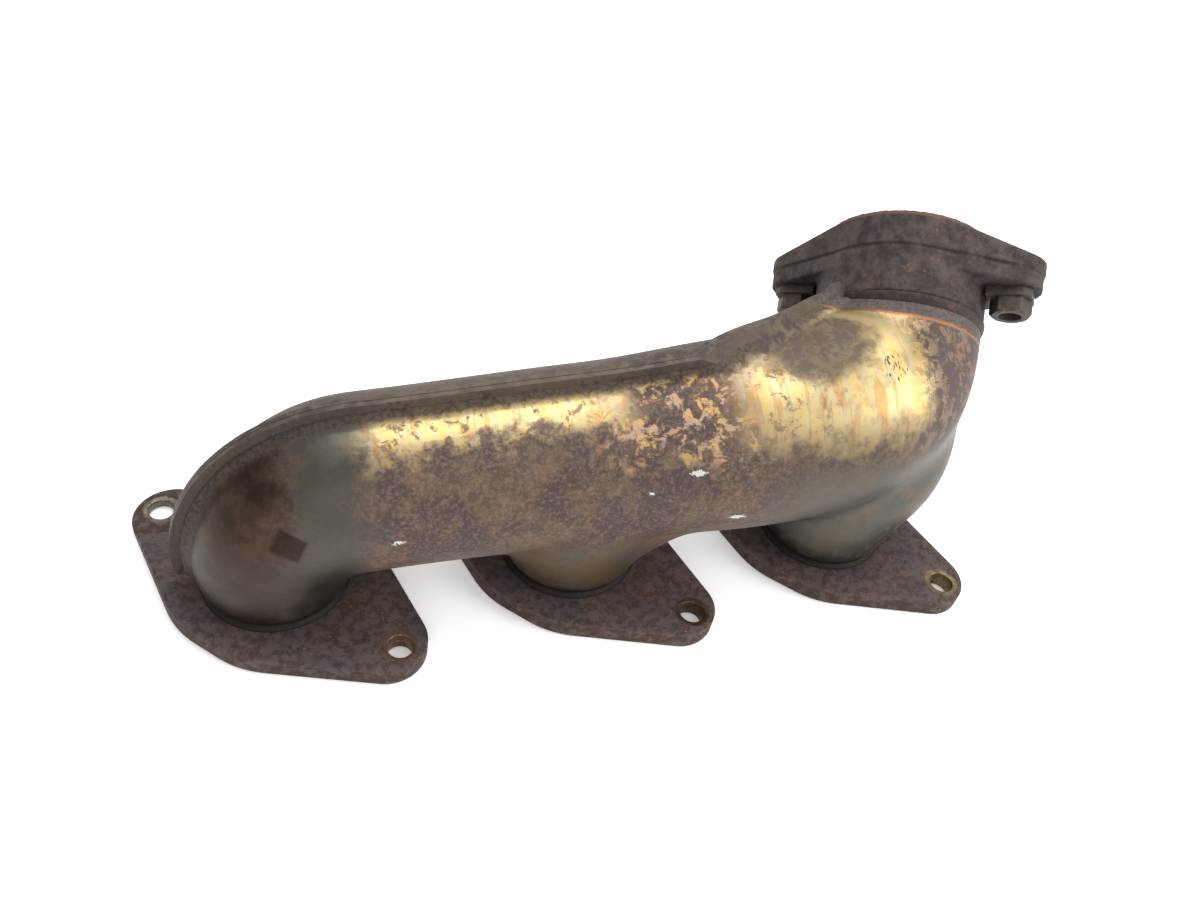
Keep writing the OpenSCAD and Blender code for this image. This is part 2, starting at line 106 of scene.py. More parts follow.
# The foot of each leg, as (height, radius): a collar in the weld, and the bulge that overhangs it
FOOT = ((7, 23.5), (9.8, 23.5), (10.6, 23.9), (11.5, 24.6), (13.5, 25.5), (16.5, 26), (18, 26))
FOOT_CUT = 17                       # height above which the legs take over from the feet


def on_line(x):
    return LINE_START + LINE * ((x - LINE_START.x) / LINE.x)


def ease(t):
    return t * t * (3 - 2 * t)


def mix(a, b, t):
    return a + (b - a) * t


# ---------------------------------------------------------------- modelling helpers


def deselect():
    if bpy.context.object and bpy.context.object.mode != "OBJECT":
        bpy.ops.object.mode_set(mode="OBJECT")
    bpy.ops.object.select_all(action="DESELECT")


def pick(*objects):
    deselect()
    for obj in objects:
        obj.select_set(True)
    bpy.context.view_layer.objects.active = objects[0]


def modify(obj, kind, **settings):
    pick(obj)
    modifier = obj.modifiers.new(kind, kind)
    for key, value in settings.items():
        setattr(modifier, key, value)
    bpy.ops.object.modifier_apply(modifier=modifier.name)
    return obj


def copy_of(obj, name):
    made = obj.copy()
    made.data = obj.data.copy()
    made.name = made.data.name = name
    made.parent = None
    for key in list(made.keys()):
        del made[key]
    bpy.context.scene.collection.objects.link(made)
    return made


def merged_copy(node, name):
    """A CAD node's shape as one joined mesh."""
    made = copy_of(cad[node], name)
    pick(made)
    bpy.ops.object.mode_set(mode="EDIT")
    bpy.ops.mesh.select_all(action="SELECT")
    bpy.ops.mesh.remove_doubles(threshold=0.003 * MM)
    bpy.ops.mesh.select_all(action="DESELECT")
    bpy.ops.object.mode_set(mode="OBJECT")
    made.data.materials.clear()
    return made


def cut(obj, tool, operation, keep=False):
    modify(obj, "BOOLEAN", object=tool, operation=operation, solver="MANIFOLD")
    if not keep:
        bpy.data.objects.remove(tool)
    return obj


def join(*objects):
    pick(*objects)
    bpy.ops.object.join()
    return objects[0]


def remesh(obj, size, rounds):
    """Turns overlapping solids into one skin and smooths it."""
    modify(obj, "REMESH", mode="VOXEL", voxel_size=size * MM, use_smooth_shade=True)
    return modify(obj, "SMOOTH", factor=0.5, iterations=rounds)


def smooth_shaded(obj, angle):
    pick(obj)
    bpy.ops.object.shade_smooth_by_angle(angle=math.radians(angle))
    return obj


def select_verts(obj, chosen):
    """In edit mode, selects the vertices that a test accepts, and the edges between them."""
    mesh = bmesh.from_edit_mesh(obj.data)
    for vert in mesh.verts:
        vert.select = chosen(vert)
    for edge in mesh.edges:
        edge.select = edge.verts[0].select and edge.verts[1].select
    for face in mesh.faces:
        face.select = all(vert.select for vert in face.verts)
    mesh.select_flush_mode()
    bmesh.update_edit_mesh(obj.data)


def tube(name, rings, sides):
    """A closed tube skinned over rings of (centre, direction, half width, half depth)."""
    deselect()
    for k, (centre, along, wide, deep) in enumerate(rings):
        side = along.cross(Y_AXIS).normalized()
        turn = Matrix((side, along.cross(side), along)).transposed().to_euler()
        bpy.ops.mesh.primitive_circle_add(
            vertices=sides, radius=wide * MM, location=centre * MM, rotation=turn)
        obj = bpy.context.object
        if k == 0:
            obj.name = obj.data.name = name
            bpy.ops.object.transform_apply(location=True, rotation=True, scale=True)
            bpy.ops.object.mode_set(mode="EDIT")
            continue
        if wide != deep:
            bpy.ops.transform.resize(value=(1, deep / wide, 1), center_override=centre * MM)
        mesh = bmesh.from_edit_mesh(obj.data)
        for edge in mesh.edges:
            a, b = sorted(vert.index // sides for vert in edge.verts)
            edge.select_set(a == b and a >= k - 1)
        bmesh.update_edit_mesh(obj.data)
        bpy.ops.mesh.bridge_edge_loops()
    bpy.ops.mesh.select_all(action="SELECT")
    bpy.ops.mesh.fill_holes(sides=0)
    bpy.ops.mesh.select_all(action="SELECT")
    bpy.ops.mesh.normals_make_consistent(inside=False)
    bpy.ops.mesh.select_all(action="DESELECT")
    bpy.ops.object.mode_set(mode="OBJECT")
    return obj


def cylinder(name, base, along, radius, length, sides=96):
    deselect()
    turn = along.to_track_quat("Z", "Y").to_euler()
    bpy.ops.mesh.primitive_cylinder_add(
        vertices=sides, radius=radius * MM, depth=length * MM, rotation=turn,
        location=(base + along * length / 2) * MM)
    obj = bpy.context.object
    obj.name = obj.data.name = name
    bpy.ops.object.transform_apply(location=True, rotation=True, scale=True)
    return obj


# ---------------------------------------------------------------- the shell

# The curve from the straight tube to the neck, as a Bezier with these two handle lengths
LINE_HANDLE, NECK_HANDLE = 33, 20
CURVE_A = on_line(PITCH - 46)
CURVE_D = NECK_END - OUT_DIR * COLLAR_LEN
CURVE_B = CURVE_A + LINE * LINE_HANDLE
CURVE_C = CURVE_D - OUT_DIR * NECK_HANDLE
UP = Vector((0, 0, 1))
FAR = 400                           # past every edge of the manifold
SEAM_GAP = 0.12                     # half the gap between the two pressings


def curve_point(t):
    s = 1 - t
    return s**3 * CURVE_A + 3 * s * s * t * CURVE_B + 3 * s * t * t * CURVE_C + t**3 * CURVE_D


def curve_dir(t):
    s = 1 - t
    return (s * s * (CURVE_B - CURVE_A) + 2 * s * t * (CURVE_C - CURVE_B)
            + t * t * (CURVE_D - CURVE_C)).normalized()


def curve_radius(t):
    widest = 0.45
    if t < widest:
        return mix(REAR_R - 2, REAR_R, ease(t / widest))
    return mix(REAR_R, END_R, ease((t - widest) / (1 - widest)))


def route(grow, run_out):
    """Rings along the tube, its radius grown by some amount and its ends run out."""
    foot = Vector((-PITCH, 0, FLANGE_T - run_out))
    found = [(foot, UP, PORT_R), (Vector((-PITCH, 0, BULGE_Z)), UP, PORT_R)]
    steps = 18
    for i in range(steps + 1):
        angle = (math.pi / 2 - RISE) * i / steps
        arm = Vector((-math.cos(angle), 0, math.sin(angle)))
        along = Vector((math.sin(angle), 0, math.cos(angle)))
        radius = mix(PORT_R + 1, FRONT_R, ease(i / steps))
        found.append((BEND_CENTRE + BEND_R * arm, along, radius))
    for i in range(1, 17):
        x = mix(LINE_START.x, CURVE_A.x, i / 17)
        if x < 0:
            radius = mix(FRONT_R, MID_R, ease(min(1, (x + 75) / 75)))
        else:
            radius = mix(MID_R, REAR_R - 2, ease(min(1, x / 60)))
        found.append((on_line(x), LINE, radius))
    for i in range(21):
        t = i / 20
        found.append((curve_point(t), curve_dir(t), curve_radius(t)))
    found.append((NECK_END + OUT_DIR * run_out, OUT_DIR, END_R))
    return [(c, d, r + grow, r + grow) for c, d, r in found]


def leg_rings(levels, x, grow, run_out):
    found = []
    for k, (z, wide, deep, dx, dy) in enumerate(levels):
        low = run_out if k == 0 else 0
        found.append((Vector((x + dx, dy, z - low)), UP, PORT_R + wide + grow, PORT_R + deep + grow))
    return found


def shell_body(name, grow, run_out, sides):
    """Tube and legs as one solid with soft joins."""
    solid = join(
        tube(name, route(grow, run_out), sides),
        tube("middle_leg", leg_rings(MIDDLE_LEG, 0, grow, run_out), sides),
        tube("rear_leg", leg_rings(REAR_LEG, PITCH, grow, run_out), sides))
    remesh(solid, BASE_VOXEL, SMOOTHING)
    cut(solid, all_below(FOOT_CUT), "DIFFERENCE")
    for x in (-PITCH, 0, PITCH):
        rings = [(Vector((x, 0, z)), UP, r + grow, r + grow) for z, r in FOOT]
        rings[0] = (Vector((x, 0, FLANGE_T - run_out)), *rings[0][1:])
        cut(solid, tube("foot", rings, sides), "UNION")
    return solid


def behind_seam(grow):
    """A block of everything behind the seam, rounded where the seam turns."""
    deselect()
    size = 1.2
    bpy.ops.mesh.primitive_cube_add(size=size)
    obj = bpy.context.object
    flat = Vector((0, -grow * MM, 0))
    slant = (NECK_END + SEAM_FACE * grow) * MM
    bpy.ops.object.mode_set(mode="EDIT")
    bpy.ops.mesh.select_all(action="SELECT")
    bpy.ops.mesh.bisect(plane_co=flat, plane_no=Y_AXIS, use_fill=True, clear_inner=True)
    bpy.ops.mesh.select_all(action="SELECT")
    bpy.ops.mesh.bisect(plane_co=slant, plane_no=SEAM_FACE, use_fill=True, clear_outer=True)
    touching = 1e-5
    select_verts(obj, lambda v: abs(v.co.y - flat.y) < touching
                 and abs((v.co - slant).dot(SEAM_FACE)) < touching)
    turn = math.acos(-SEAM_FACE.y)
    bpy.ops.mesh.bevel(
        offset=(SEAM_ROUND + grow) * math.tan(turn / 2) * MM, segments=24, affect="EDGES")
    bpy.ops.mesh.select_all(action="SELECT")
    bpy.ops.mesh.normals_make_consistent(inside=False)
    bpy.ops.object.mode_set(mode="OBJECT")
    return obj


def all_below(height):
    """A block of everything below a height."""
    deselect()
    low, high = Vector((-FAR, -FAR, -50)), Vector((FAR, FAR, height))
    bpy.ops.mesh.primitive_cube_add(
        size=1, location=(low + high) / 2 * MM, scale=(high - low) * MM)
    bpy.ops.object.transform_apply(location=True, rotation=True, scale=True)
    return bpy.context.object


def past_neck_end(distance):
    """A cylinder of everything further along the outlet than the end of the shell."""
    wide = long = 60
    return cylinder("end", NECK_END + OUT_DIR * distance, OUT_DIR, wide, long)


# How far the lip stands proud of the shell, and how far it reaches from the seam
LIP = (6.0, 2.0)
# Low wide steps beside it, which become the hollow along the lip once the shell is smoothed
LIP_STEPS = ((3.0, 2.9), (1.3, 4.2))
TAB = 3.0                           # how far the lip's end turns up past the end of the shell
BASE_VOXEL, FINE_VOXEL = 2, 0.95
SMOOTHING, SHRINK = 40, 0.6         # rounds, and what they take off the radius

body = shell_body("shell_body", SHRINK, run_out=3, sides=96)
hollow = shell_body("shell_hollow", SHRINK - SHELL_T, run_out=4, sides=64)


def lip_strip(proud, reach, front, past_neck=-2.0):
    """One step of a lip: the shell grown, cut down to a strip beside the seam."""
    strip = copy_of(body, "lip")
    modify(strip, "DISPLACE", strength=proud * MM, mid_level=0)
    remesh(strip, 1.5, 2)
    if front:
        cut(strip, behind_seam(SEAM_GAP), "DIFFERENCE")
        cut(strip, behind_seam(reach), "INTERSECT")
    else:
        cut(strip, behind_seam(-SEAM_GAP), "INTERSECT")
        cut(strip, behind_seam(-reach), "DIFFERENCE")
    cut(strip, all_below(LIP_FOOT_Z), "DIFFERENCE")
    cut(strip, past_neck_end(past_neck), "DIFFERENCE")
    return strip


def shell_half(name, front):
    """One pressing of the shell, with its half of the lip."""
    half = copy_of(body, name)
    if front:
        cut(half, behind_seam(SEAM_GAP), "DIFFERENCE")
    else:
        cut(half, behind_seam(-SEAM_GAP), "INTERSECT")
    for proud, reach in LIP_STEPS:
        half = join(half, lip_strip(proud, reach, front))
    remesh(half, FINE_VOXEL, 4)
    cut(half, past_neck_end(0), "DIFFERENCE")
    cut(half, lip_strip(*LIP, front, past_neck=TAB), "UNION")
    cut(half, hollow, "DIFFERENCE", keep=True)
    cut(half, all_below(FLANGE_T), "DIFFERENCE")
    return smooth_shaded(half, 50)


front_shell = shell_half("front_shell", True)
back_shell = shell_half("back_shell", False)
for spare in (body, hollow):
    bpy.data.objects.remove(spare)
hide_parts("outer_shell_front")
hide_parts("outer_shell_back")

# ---------------------------------------------------------------- cast outlet, welds and nuts

SHARP = 40                          # degrees: an edge that bends more than this stays crisp
FLAT = 1.5                          # degrees: faces that bend less than this are one face


def recast(node, name, voxel, rounds):
    """A CAD node's shape with the soft corners of a casting."""
    made = merged_copy(node, name)
    remesh(made, voxel, rounds)
    smooth_shaded(made, SHARP)
    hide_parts(node)
    return made


def edged(node, name, width, segments=3):
    """A CAD node's shape with its sharp edges worn round."""
    made = merged_copy(node, name)
    pick(made)
    bpy.ops.object.mode_set(mode="EDIT")
    bpy.ops.mesh.select_all(action="SELECT")
    bpy.ops.mesh.dissolve_limited(angle_limit=math.radians(FLAT))
    bpy.ops.mesh.select_all(action="DESELECT")
    bpy.ops.object.mode_set(mode="OBJECT")
    modify(made, "BEVEL", width=width * MM, segments=segments, limit_method="ANGLE",
           angle_limit=math.radians(SHARP), harden_normals=False)
    smooth_shaded(made, SHARP)
    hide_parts(node)
    return made


outlet = recast("outlet_flange", "cast_outlet", 0.65, 5)
outlet_weld = recast("outlet_shell_weld", "outlet_weld_bead", 0.45, 6)
PORTS, SIDES = ("front", "middle", "rear"), ("left", "right")
flanges = {port: edged(port + "_port_flange", port + "_flange_plate", 0.6) for port in PORTS}
welds = [recast(port + "_shell_weld", port + "_shell_weld_bead", 0.4, 3) for port in PORTS]
nuts = [edged(side + "_outlet_nut", side + "_nut", 0.35, 2) for side in SIDES]
plates = [edged(side + "_nut_plate", side + "_plate", 0.5, 2) for side in SIDES]

for piece in (front_shell, back_shell):
    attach(piece, "root")
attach(outlet, "root")
for piece in (outlet_weld, *welds):
    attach(piece, "root")
for piece in flanges.values():
    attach(piece, "root")
for piece in (*nuts, *plates):
    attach(piece, "root")

# ---------------------------------------------------------------- materials


class Recipe:
    """Builds one procedural material. Every pattern reads Object coordinates, in millimetres."""

    def __init__(self, name):
        self.material = bpy.data.materials.new(name)
        self.material.use_nodes = True
        self.tree = self.material.node_tree
        self.shader = self.tree.nodes["Principled BSDF"]
        self.shader.inputs["Specular IOR Level"].default_value = 0.25
        place = self.tree.nodes.new("ShaderNodeTexCoord")
        self.place = self.vector("SCALE", place.outputs["Object"], scale=1 / MM)

    def link(self, socket, value):
        if isinstance(value, bpy.types.NodeSocket):
            self.tree.links.new(value, socket)
        else:
            socket.default_value = value

    def vector(self, operation, a, b=None, scale=None):
        node = self.tree.nodes.new("ShaderNodeVectorMath")
        node.operation = operation
        self.link(node.inputs[0], a)
        if b is not None:
            self.link(node.inputs[1], b)
        if scale is not None:
            node.inputs["Scale"].default_value = scale
        return node.outputs["Value" if operation in ("DOT_PRODUCT", "DISTANCE") else "Vector"]

    def math(self, operation, a, b=0.0):
        node = self.tree.nodes.new("ShaderNodeMath")
        node.operation = operation
        self.link(node.inputs[0], a)
        self.link(node.inputs[1], b)
        return node.outputs[0]

    def stretched(self, x, y, z):
        """The place, squeezed along each axis so that a pattern on it is drawn out."""
        return self.vector("MULTIPLY", self.place, (1 / x, 1 / y, 1 / z))

    def noise(self, size, detail=4, rough=0.6, place=None, warp=0.0):
        node = self.tree.nodes.new("ShaderNodeTexNoise")
        self.link(node.inputs["Vector"], place if place is not None else self.place)
        node.inputs["Scale"].default_value = 1 / size
        node.inputs["Detail"].default_value = detail
        node.inputs["Roughness"].default_value = rough
        node.inputs["Distortion"].default_value = warp
        return node.outputs["Fac"]

    def cells(self, size, place=None):
        node = self.tree.nodes.new("ShaderNodeTexVoronoi")
        self.link(node.inputs["Vector"], place if place is not None else self.place)
        node.inputs["Scale"].default_value = 1 / size
        return node.outputs["Distance"]

    def step(self, value, low, high, to_low=0.0, to_high=1.0):
        """Goes smoothly from to_low to to_high as value goes from low to high."""
        node = self.tree.nodes.new("ShaderNodeMapRange")
        node.interpolation_type = "SMOOTHSTEP"
        self.link(node.inputs["Value"], value)
        for key, number in (("From Min", low), ("From Max", high),
                            ("To Min", to_low), ("To Max", to_high)):
            node.inputs[key].default_value = number
        return node.outputs["Result"]

    def mix(self, amount, a, b):
        node = self.tree.nodes.new("ShaderNodeMix")
        node.data_type = "RGBA"
        self.link(node.inputs[0], amount)
        for socket, value in ((node.inputs[6], a), (node.inputs[7], b)):
            self.link(socket, value if isinstance(value, bpy.types.NodeSocket) else (*value, 1))
        return node.outputs[2]

    def blend(self, amount, a, b):
        """Numbers a and b, mixed."""
        node = self.tree.nodes.new("ShaderNodeMix")
        self.link(node.inputs[0], amount)
        self.link(node.inputs[2], a)
        self.link(node.inputs[3], b)
        return node.outputs[0]

    def times(self, *values):
        total = values[0]
        for value in values[1:]:
            total = self.math("MULTIPLY", total, value)
        return total

    def largest(self, *values):
        top = values[0]
        for value in values[1:]:
            top = self.math("MAXIMUM", top, value)
        return top

    def axis(self, letter):
        node = self.tree.nodes.new("ShaderNodeSeparateXYZ")
        self.link(node.inputs[0], self.place)
        return node.outputs["XYZ".index(letter)]

    def near(self, point, inner, outer, squeeze=(1, 1, 1), wobble=None):
        """1 inside inner of a point and 0 past outer, on squeezed axes."""
        here = self.vector("MULTIPLY", self.place, squeeze)
        there = tuple(p * s for p, s in zip(point, squeeze))
        gap = self.vector("DISTANCE", here, there)
        if wobble is not None:
            gap = self.math("ADD", gap, wobble)
        return self.step(gap, inner, outer, 1, 0)

    def bump(self, height, strength, depth, under=None):
        node = self.tree.nodes.new("ShaderNodeBump")
        node.inputs["Strength"].default_value = strength
        node.inputs["Distance"].default_value = depth * MM
        self.link(node.inputs["Height"], height)
        if under is not None:
            self.link(node.inputs["Normal"], under)
        return node.outputs["Normal"]

    def finish(self, color, metallic, roughness, normal, *objects):
        self.link(self.shader.inputs["Base Color"], color)
        self.link(self.shader.inputs["Metallic"], metallic)
        self.link(self.shader.inputs["Roughness"], roughness)
        self.link(self.shader.inputs["Normal"], normal)
        for obj in objects:
            obj.data.materials.clear()
            obj.data.materials.append(self.material)


# Colours of the tinted shell
GOLD, STRAW = (0.52, 0.36, 0.13), (0.44, 0.38, 0.23)
AMBER, OLIVE = (0.44, 0.25, 0.085), (0.27, 0.235, 0.12)
PURPLE_RUST, BROWN_RUST = (0.062, 0.041, 0.036), (0.115, 0.076, 0.052)
OLIVE_BROWN = (0.110, 0.076, 0.040)
SAND_RUST, PALE_RUST = (0.150, 0.088, 0.045), (0.190, 0.142, 0.112)
FLAKE_PINK, FLAKE_AMBER = (0.42, 0.28, 0.20), (0.52, 0.32, 0.11)
SIDE_PURPLE, SIDE_PINK = (0.075, 0.052, 0.048), (0.19, 0.125, 0.085)
GREEN_GREY, BLUE_GREY = (0.108, 0.090, 0.062), (0.082, 0.084, 0.074)
BAND_GREY, BAND_GREEN = (0.054, 0.055, 0.052), (0.084, 0.078, 0.060)
# The left-end colours hold painted shade as well as tint
DARK_TINT_AND_SHADE, BROWN_TINT_AND_SHADE = (0.028, 0.017, 0.010), (0.058, 0.036, 0.023)
# The front foot colours hold painted shade as well as their grey
FOOT_SHADE_DARK, FOOT_SHADE_GREY = (0.048, 0.036, 0.027), (0.062, 0.052, 0.046)
# Dirt, scale and marks on it, with painted shade in the seam's hollow and at the foot collar and a painted
# highlight on the lip top
GRIME_AND_SHADE_DARK, GRIME_AND_SHADE_BROWN = (0.024, 0.018, 0.014), (0.065, 0.048, 0.037)
LIP_HIGHLIGHT_DIM, LIP_HIGHLIGHT_PALE = (0.052, 0.040, 0.034), (0.100, 0.080, 0.068)
NECK_ORANGE, NECK_DARK, NECK_PALE = (0.30, 0.13, 0.045), (0.060, 0.048, 0.044), (0.100, 0.082, 0.076)
PATCH_PURPLE, PATCH_OLIVE = (0.050, 0.036, 0.036), (0.120, 0.092, 0.058)
FOOT_COLLAR_SHADE, STAIN_BROWN, PIT_GREY = (0.014, 0.010, 0.008), (0.022, 0.012, 0.008), (0.06, 0.045, 0.05)
PAINT, FRECKLE = (0.48, 0.50, 0.47), (0.07, 0.045, 0.035)
STAIN_AT = Vector((-101, -27, 52))
STAIN_SIDE = Vector((0.92, 0, -0.39)).normalized()
PAINT_SPECKS = (((-68, -29, 53), 2.0), ((13, -30, 67), 1.2), ((28, -29, 74), 2.2),
                ((45, -33, 55), 2.4), ((-51, -27, 62), 1.4))


def tinted_steel(name, *objects):
    """Stainless sheet after years of heat: straw, gold, blue-grey and rust."""
    m = Recipe(name)
    x, y, z = m.axis("X"), m.axis("Y"), m.axis("Z")
    patchy = m.noise(16, 6, 0.62)
    mottle = m.noise(5, 8, 0.72, warp=0.5)
    fine = m.noise(1.3, 6, 0.72)
    clouds = m.noise(9, 7, 0.68)
    streak = m.noise(7, 5, 0.6, place=m.stretched(0.5, 4, 4))

    def roughly(value, pattern, width):
        """A coordinate whose edges wander by up to about half a width."""
        return m.math("ADD", value, m.math("MULTIPLY", m.math("SUBTRACT", pattern, 0.5), width))

    x_rough, z_rough = roughly(x, patchy, 30), roughly(z, clouds, 26)
    y_rough = roughly(y, clouds, 30)

    straw = m.mix(m.step(streak, 0.36, 0.60), GOLD, STRAW)
    straw = m.mix(m.times(m.step(streak, 0.54, 0.62), 0.85), straw, AMBER)
    straw = m.mix(m.times(m.step(clouds, 0.52, 0.66), 0.55), straw, OLIVE)
    blotch = roughly(m.noise(19, 8, 0.7, warp=0.8), mottle, 0.25)
    brown = m.mix(m.step(blotch, 0.42, 0.56), PURPLE_RUST, BROWN_RUST)
    brown = m.mix(m.times(m.step(clouds, 0.50, 0.64), 0.7), brown, SAND_RUST)
    brown = m.mix(m.times(m.step(mottle, 0.52, 0.46), 0.55), brown, PURPLE_RUST)
    brown = m.mix(m.times(m.step(fine, 0.48, 0.60), 0.45), brown, PALE_RUST)
    green = m.mix(m.step(clouds, 0.36, 0.64), GREEN_GREY, BLUE_GREY)
    dark = m.mix(m.step(clouds, 0.36, 0.64), DARK_TINT_AND_SHADE, BROWN_TINT_AND_SHADE)

    # Gold keeps to a narrow band below the seam, and opens out over the outlet end
    band = m.times(m.step(y_rough, -18, -10), m.step(x_rough, -94, -80), m.step(x_rough, 18, -4))
    opening = m.times(m.step(x_rough, 32, 56), m.step(z_rough, 76, 92), m.step(x_rough, 124, 110))
    gold_here = m.largest(band, opening)
    eaten = m.times(m.step(mottle, 0.52, 0.60), m.step(x_rough, 96, 60), 0.75)
    gold_here = m.math("MULTIPLY", gold_here, m.math("SUBTRACT", 1.0, eaten))
    color = m.mix(gold_here, brown, straw)

    # Flaking orange between the two golds, and a paler rust round the right side
    flaking = m.times(m.step(x_rough, -14, 6), m.step(x_rough, 58, 40), m.step(z_rough, 72, 84))
    color = m.mix(m.times(flaking, m.step(mottle, 0.50, 0.58), 0.85), color, m.mix(
        m.step(clouds, 0.45, 0.58), FLAKE_PINK, FLAKE_AMBER))
    side = m.times(m.step(x_rough, 98, 118), m.step(z_rough, 30, 48))
    color = m.mix(m.times(side, m.step(mottle, 0.56, 0.46)), color, SIDE_PURPLE)
    color = m.mix(m.times(side, m.step(mottle, 0.50, 0.60)), color, SIDE_PINK)

    low_green = m.times(m.step(x_rough, 44, 76), m.step(z_rough, 82, 66),
                        m.step(mottle, 0.66, 0.50, 0.4, 1))
    color = m.mix(low_green, color, green)
    middle_foot = m.times(m.step(x, 34, 10), m.step(x, -48, -26), m.step(z_rough, 48, 34), 0.75)
    color = m.mix(middle_foot, color, m.mix(m.step(patchy, 0.42, 0.56), green, OLIVE_BROWN))
    grey_band = m.times(m.step(x_rough, -108, -92), m.step(x_rough, -68, -84))
    color = m.mix(m.times(grey_band, 0.9), color, m.mix(clouds, BAND_GREY, BAND_GREEN))
    # The left end: its own dark brown tint, made darker as painted shade on the side away from the light
    left_end = m.step(x_rough, -92, -112)
    color = m.mix(left_end, color, dark)
    # The low part of the front leg: its grey tone, darkened as painted shade where the shell turns down
    # away from the light
    grey_shaded_foot = m.times(m.step(x, -82, -96), m.step(z_rough, 54, 34))
    color = m.mix(m.times(grey_shaded_foot, 0.75), color, m.mix(clouds, FOOT_SHADE_DARK, FOOT_SHADE_GREY))

    # Dirt and painted shade in the hollow along the seam, a painted highlight on the lip top, and heat
    # scale at the neck
    seam_gap = m.largest(m.math("MULTIPLY", y, -1), m.math(
        "SUBTRACT", m.vector("DOT_PRODUCT", m.place, SEAM_FACE), SEAM_FACE.dot(NECK_END)))
    seam_edge = roughly(seam_gap, mottle, 5)
    # Painted shade: the hollow beside the lip is darkened for the dark it reflects as well as for its dirt
    grime_and_shade = m.mix(m.step(fine, 0.38, 0.62), GRIME_AND_SHADE_DARK, GRIME_AND_SHADE_BROWN)
    # Painted highlight: the lip top, nearest the seam, is painted lighter than the hollow below it
    grime_and_shade = m.mix(m.step(seam_edge, 2.8, 1.6), grime_and_shade, m.mix(
        m.step(mottle, 0.42, 0.60), LIP_HIGHLIGHT_DIM, LIP_HIGHLIGHT_PALE))
    color = m.mix(m.step(seam_edge, 5.6, 3.6, 0, 0.94), color, grime_and_shade)
    neck_gap = m.math("SUBTRACT", OUT_DIR.dot(NECK_END), m.vector("DOT_PRODUCT", m.place, OUT_DIR))
    neck_gap = roughly(neck_gap, mottle, 3)
    color = m.mix(m.times(m.step(neck_gap, 9.6, 8.8), m.step(x, 84, 94)), color, NECK_ORANGE)
    color = m.mix(m.step(neck_gap, 8.8, 7.6), color, m.mix(
        m.step(fine, 0.4, 0.6), NECK_DARK, NECK_PALE))
    tab_dark = m.near((76, 3, 99), 21, 30, squeeze=(0.8, 1, 1),
                      wobble=m.math("MULTIPLY", clouds, 18))
    color = m.mix(m.times(tab_dark, 0.9), color, m.mix(
        m.step(mottle, 0.44, 0.60), PATCH_PURPLE, PATCH_OLIVE))
    # Painted shade: the shell's foot collar, under the overhang of each leg's bulge, is painted near black
    collar = m.math("ADD", z, m.math("MULTIPLY", fine, 1.5))
    color = m.mix(m.step(collar, 12.4, 10.6), color, FOOT_COLLAR_SHADE)

    # A square stain on the bend, pits near the neck, flecks of white paint and fine freckles
    from_stain = m.vector("SUBTRACT", m.place, STAIN_AT)
    across = m.math("ABSOLUTE", m.vector("DOT_PRODUCT", from_stain, STAIN_SIDE))
    along = m.math("ABSOLUTE", m.vector("DOT_PRODUCT", from_stain, STAIN_SIDE.cross(Y_AXIS)))
    stain = m.times(m.step(m.math("MAXIMUM", across, along), 5.2, 3.6), m.step(y, 0, -10),
                    m.step(fine, 0.3, 0.6, 0.65, 0.95))
    color = m.mix(stain, color, STAIN_BROWN)
    pits = m.times(m.near((100, -10.5, 98.5), 4, 7), m.step(m.noise(
        1.5, 3, 0.6, place=m.stretched(0.6, 2, 2)), 0.55, 0.60))
    color = m.mix(pits, color, PIT_GREY)
    ragged = m.math("MULTIPLY", m.math("SUBTRACT", m.noise(1.1, 3, 0.7), 0.42), 5)
    specks = m.largest(*[
        m.near(spot, size * 0.75, size * 0.9, squeeze=(0.6, 1, 1.5), wobble=ragged)
        for spot, size in PAINT_SPECKS])
    color = m.mix(specks, color, PAINT)
    freckle = m.times(m.step(m.cells(2.3), 0.15, 0.07), m.step(mottle, 0.5, 0.6), 0.6)
    color = m.mix(freckle, color, FRECKLE)

    # The tinted zones are bare metal, and the rust, the dirt, the painted shade and the scale are dull
    film = m.largest(gold_here, low_green, grey_band, left_end, middle_foot)
    bright = m.times(film, m.step(seam_edge, 3.5, 6), m.step(neck_gap, 7, 9),
                     m.step(collar, 10.6, 12.4), m.math("SUBTRACT", 1.0, tab_dark))
    rough = m.math("ADD", m.blend(bright, 0.62, 0.45), m.math(
        "MULTIPLY", m.math("SUBTRACT", mottle, 0.5), 0.25))
    scale = m.bump(mottle, 0.22, 0.22)
    grain = m.bump(fine, 0.16, 0.10, under=scale)
    m.finish(color, m.blend(bright, 0.25, 0.92), rough, grain, *objects)


# Colours of the flange plates
PLATE_PURPLE, PLATE_BROWN, PLATE_DARK = (0.080, 0.065, 0.066), (0.108, 0.073, 0.063), (0.050, 0.034, 0.031)
PLATE_ORANGE, PLATE_FLECK = (0.24, 0.105, 0.040), (0.30, 0.10, 0.035)
PLATE_PIT, PLATE_EDGE = (0.022, 0.016, 0.015), (0.050, 0.027, 0.018)
RIM_IN, RIM_OUT = 5.9, 6.9          # the ring that a nut has worn round a hole fades between these
PLATE_EDGE_LOW, PLATE_EDGE_TOP = 5.5, 6.9


